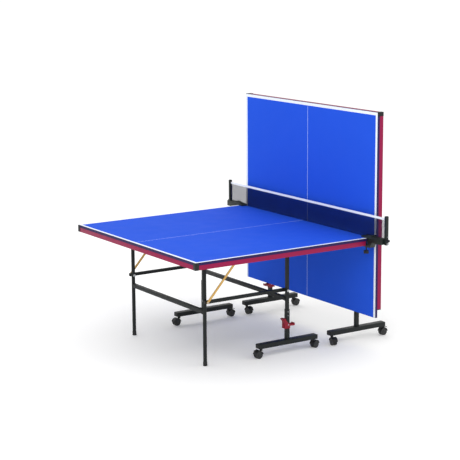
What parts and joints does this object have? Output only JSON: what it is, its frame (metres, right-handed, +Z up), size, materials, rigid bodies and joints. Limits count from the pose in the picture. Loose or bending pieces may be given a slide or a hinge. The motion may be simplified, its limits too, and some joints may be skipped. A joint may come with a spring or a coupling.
{
  "type": "ping pong table",
  "caption": "Roll-away ping pong table set for solo play: one half flat with a clamped net, the other folded upright behind it.",
  "frame": {"origin": "floor point at the middle of the table's length and width", "axes": "+X along the table from the flat half to the upright half, +Y across it, +Z up"},
  "size_m": [1.7056, 1.884, 1.582],
  "materials": {
    "board": "satin paint on a wood panel",
    "apron": "satin",
    "frame": "satin",
    "zinc": "satin",
    "bolt": "satin",
    "black_plastic": "matte",
    "red_plastic": "satin",
    "foot_rubber": "matte",
    "wheel": "satin",
    "netting": "matte",
    "tape": "matte",
    "cord": "matte"
  },
  "bodies": {
    "near_base": {"near_foot_beams": "frame", "near_beam_caps": "black_plastic", "near_posts": "frame", "near_base_crossbar": "frame", "near_link_bolts": "bolt", "near_latch_housing": "red_plastic"},
    "near_top": {"near_top_panel": "board", "near_apron_rails": "apron", "near_corner_caps": "black_plastic", "near_subframe": "frame", "near_brackets": "frame", "net_mesh": "netting", "net_tape": "tape", "net_cord": "cord", "net_posts": "black_plastic", "net_clamps": "black_plastic"},
    "near_legs": {"near_leg_frame": "frame", "near_leg_feet": "foot_rubber"},
    "near_links": {"near_link_bars": "frame"},
    "near_brace_pair": {"near_braces": "zinc"},
    "near_latch": {"near_latch_lever": "red_plastic"},
    "far_base": {"far_foot_beams": "frame", "far_beam_caps": "black_plastic", "far_posts": "frame", "far_base_crossbar": "frame", "far_link_bolts": "bolt", "far_latch_housing": "red_plastic"},
    "far_top": {"far_top_panel": "board", "far_apron_rails": "apron", "far_corner_caps": "black_plastic", "far_subframe": "frame", "far_brackets": "frame"},
    "far_legs": {"far_leg_frame": "frame", "far_leg_feet": "foot_rubber"},
    "far_links": {"far_link_bars": "frame"},
    "far_brace_pair": {"far_braces": "zinc"},
    "far_latch": {"far_latch_lever": "red_plastic"},
    "near_left_outer_caster": {"near_left_outer_caster_fork": "black_plastic"},
    "near_left_outer_wheels": {"near_left_outer_caster_wheels": "wheel"},
    "near_left_outer_brake": {"near_left_outer_brake_lever": "black_plastic"},
    "near_left_inner_caster": {"near_left_inner_caster_fork": "black_plastic"},
    "near_left_inner_wheels": {"near_left_inner_caster_wheels": "wheel"},
    "near_right_outer_caster": {"near_right_outer_caster_fork": "black_plastic"},
    "near_right_outer_wheels": {"near_right_outer_caster_wheels": "wheel"},
    "near_right_inner_caster": {"near_right_inner_caster_fork": "black_plastic"},
    "near_right_inner_wheels": {"near_right_inner_caster_wheels": "wheel"},
    "near_right_inner_brake": {"near_right_inner_brake_lever": "black_plastic"},
    "far_left_outer_caster": {"far_left_outer_caster_fork": "black_plastic"},
    "far_left_outer_wheels": {"far_left_outer_caster_wheels": "wheel"},
    "far_left_outer_brake": {"far_left_outer_brake_lever": "black_plastic"},
    "far_left_inner_caster": {"far_left_inner_caster_fork": "black_plastic"},
    "far_left_inner_wheels": {"far_left_inner_caster_wheels": "wheel"},
    "far_right_outer_caster": {"far_right_outer_caster_fork": "black_plastic"},
    "far_right_outer_wheels": {"far_right_outer_caster_wheels": "wheel"},
    "far_right_inner_caster": {"far_right_inner_caster_fork": "black_plastic"},
    "far_right_inner_wheels": {"far_right_inner_caster_wheels": "wheel"},
    "far_right_inner_brake": {"far_right_inner_brake_lever": "black_plastic"},
    "clamp_screw_left_turner": {"clamp_screw_left": "black_plastic"},
    "clamp_screw_right_turner": {"clamp_screw_right": "black_plastic"},
    "net_cord_knob_turner": {"net_cord_knob": "black_plastic"}
  },
  "joints": [
    {"name": "near_top_fold", "type": "hinge", "parent": "near_base", "child": "near_top", "pos_m": [0.00925, 0, 0.72], "axis": [0, 1, 0], "range_deg": [0, 90]},
    {"name": "near_leg_swing", "type": "hinge", "parent": "near_top", "child": "near_legs", "pos_m": [-0.59575, 0, 0.72], "axis": [0, 1, 0], "range_deg": [-90, 0]},
    {"name": "near_link_swing", "type": "hinge", "parent": "near_base", "child": "near_links", "pos_m": [0.00925, 0, 0.425], "axis": [0, 1, 0], "range_deg": [0, 90]},
    {"name": "near_brace_swing", "type": "hinge", "parent": "near_legs", "child": "near_brace_pair", "pos_m": [-0.59575, 0, 0.425], "axis": [0, 1, 0], "range_deg": [0, 137.8]},
    {"name": "far_trolley_roll", "type": "slide", "parent": "near_base", "child": "far_base", "axis": [1, 0, 0], "range_m": [0, 0.53]},
    {"name": "far_top_fold", "type": "hinge", "parent": "far_base", "child": "far_top", "pos_m": [0.58925, 0, 0.72], "axis": [0, 1, 0], "range_deg": [0, 90]},
    {"name": "far_leg_swing", "type": "hinge", "parent": "far_top", "child": "far_legs", "pos_m": [0.58925, 0, 1.325], "axis": [0, 1, 0], "range_deg": [-90, 0]},
    {"name": "far_link_swing", "type": "hinge", "parent": "far_base", "child": "far_links", "pos_m": [0.58925, 0, 0.425], "axis": [0, 1, 0], "range_deg": [0, 90]},
    {"name": "far_brace_swing", "type": "hinge", "parent": "far_legs", "child": "far_brace_pair", "pos_m": [0.58925, 0, 1.03], "axis": [0, 1, 0], "range_deg": [0, 137.8]},
    {"name": "near_latch_press", "type": "hinge", "parent": "near_base", "child": "near_latch", "pos_m": [0.00925, -0.5125, 0.196], "axis": [0, 1, 0], "range_deg": [0, 9], "stiffness_Nm_per_rad": 1.5, "springref_deg": -8.59},
    {"name": "far_latch_press", "type": "hinge", "parent": "far_base", "child": "far_latch", "pos_m": [0.58925, 0.5125, 0.196], "axis": [0, -1, 0], "range_deg": [0, 9], "stiffness_Nm_per_rad": 1.5, "springref_deg": -8.59},
    {"name": "near_left_outer_swivel", "type": "hinge", "parent": "near_base", "child": "near_left_outer_caster", "pos_m": [-0.19925, -0.5125, 0.066], "axis": [0, 0, 1], "continuous": true},
    {"name": "near_left_outer_roll", "type": "hinge", "parent": "near_left_outer_caster", "child": "near_left_outer_wheels", "pos_m": [-0.22125, -0.5125, 0.026], "axis": [0, -1, 0], "continuous": true},
    {"name": "near_left_outer_brake_press", "type": "hinge", "parent": "near_left_outer_caster", "child": "near_left_outer_brake", "pos_m": [-0.22725, -0.5125, 0.0585], "axis": [0, -1, 0], "range_deg": [0, 12]},
    {"name": "near_left_inner_swivel", "type": "hinge", "parent": "near_base", "child": "near_left_inner_caster", "pos_m": [0.21775, -0.5125, 0.066], "axis": [0, 0, 1], "continuous": true},
    {"name": "near_left_inner_roll", "type": "hinge", "parent": "near_left_inner_caster", "child": "near_left_inner_wheels", "pos_m": [0.239, -0.50681, 0.026], "axis": [-0.2588, 0.9659, 0], "continuous": true},
    {"name": "near_right_outer_swivel", "type": "hinge", "parent": "near_base", "child": "near_right_outer_caster", "pos_m": [-0.19925, 0.5125, 0.066], "axis": [0, 0, 1], "continuous": true},
    {"name": "near_right_outer_roll", "type": "hinge", "parent": "near_right_outer_caster", "child": "near_right_outer_wheels", "pos_m": [-0.22125, 0.5125, 0.026], "axis": [0, -1, 0], "continuous": true},
    {"name": "near_right_inner_swivel", "type": "hinge", "parent": "near_base", "child": "near_right_inner_caster", "pos_m": [0.21775, 0.5125, 0.066], "axis": [0, 0, 1], "continuous": true},
    {"name": "near_right_inner_roll", "type": "hinge", "parent": "near_right_inner_caster", "child": "near_right_inner_wheels", "pos_m": [0.23975, 0.5125, 0.026], "axis": [0, 1, 0], "continuous": true},
    {"name": "near_right_inner_brake_press", "type": "hinge", "parent": "near_right_inner_caster", "child": "near_right_inner_brake", "pos_m": [0.24575, 0.5125, 0.0585], "axis": [0, 1, 0], "range_deg": [0, 12]},
    {"name": "far_left_outer_swivel", "type": "hinge", "parent": "far_base", "child": "far_left_outer_caster", "pos_m": [0.79775, -0.5125, 0.066], "axis": [0, 0, 1], "continuous": true},
    {"name": "far_left_outer_roll", "type": "hinge", "parent": "far_left_outer_caster", "child": "far_left_outer_wheels", "pos_m": [0.81975, -0.5125, 0.026], "axis": [0, 1, 0], "continuous": true},
    {"name": "far_left_outer_brake_press", "type": "hinge", "parent": "far_left_outer_caster", "child": "far_left_outer_brake", "pos_m": [0.82575, -0.5125, 0.0585], "axis": [0, 1, 0], "range_deg": [0, 12]},
    {"name": "far_left_inner_swivel", "type": "hinge", "parent": "far_base", "child": "far_left_inner_caster", "pos_m": [0.38075, -0.5125, 0.066], "axis": [0, 0, 1], "continuous": true},
    {"name": "far_left_inner_roll", "type": "hinge", "parent": "far_left_inner_caster", "child": "far_left_inner_wheels", "pos_m": [0.37693, -0.53417, 0.026], "axis": [0.9848, -0.1736, 0], "continuous": true},
    {"name": "far_right_outer_swivel", "type": "hinge", "parent": "far_base", "child": "far_right_outer_caster", "pos_m": [0.79775, 0.5125, 0.066], "axis": [0, 0, 1], "continuous": true},
    {"name": "far_right_outer_roll", "type": "hinge", "parent": "far_right_outer_caster", "child": "far_right_outer_wheels", "pos_m": [0.81975, 0.5125, 0.026], "axis": [0, 1, 0], "continuous": true},
    {"name": "far_right_inner_swivel", "type": "hinge", "parent": "far_base", "child": "far_right_inner_caster", "pos_m": [0.38075, 0.5125, 0.066], "axis": [0, 0, 1], "continuous": true},
    {"name": "far_right_inner_roll", "type": "hinge", "parent": "far_right_inner_caster", "child": "far_right_inner_wheels", "pos_m": [0.38457, 0.49083, 0.026], "axis": [0.9848, 0.1736, 0], "continuous": true},
    {"name": "far_right_inner_brake_press", "type": "hinge", "parent": "far_right_inner_caster", "child": "far_right_inner_brake", "pos_m": [0.38561, 0.48492, 0.0585], "axis": [0.9848, 0.1736, 0], "range_deg": [0, 12]},
    {"name": "clamp_screw_left_turn", "type": "hinge", "parent": "near_top", "child": "clamp_screw_left_turner", "pos_m": [0.49425, -0.728, 0.672], "axis": [0, 0, 1], "continuous": true},
    {"name": "clamp_screw_right_turn", "type": "hinge", "parent": "near_top", "child": "clamp_screw_right_turner", "pos_m": [0.49425, 0.728, 0.672], "axis": [0, 0, 1], "continuous": true},
    {"name": "net_cord_knob_turn", "type": "hinge", "parent": "near_top", "child": "net_cord_knob_turner", "pos_m": [0.50925, -0.926, 0.766], "axis": [0, 1, 0], "continuous": true}
  ],
  "couplings": [
    {"joint": "near_leg_swing", "follows": "near_top_fold", "ratio": -1},
    {"joint": "near_link_swing", "follows": "near_top_fold", "ratio": 1},
    {"joint": "near_brace_swing", "follows": "near_top_fold", "ratio": 1.5311},
    {"joint": "far_trolley_roll", "follows": "far_top_fold", "m_per_rad": 0.33741},
    {"joint": "far_leg_swing", "follows": "far_top_fold", "ratio": -1},
    {"joint": "far_link_swing", "follows": "far_top_fold", "ratio": 1},
    {"joint": "far_brace_swing", "follows": "far_top_fold", "ratio": 1.5311}
  ]
}
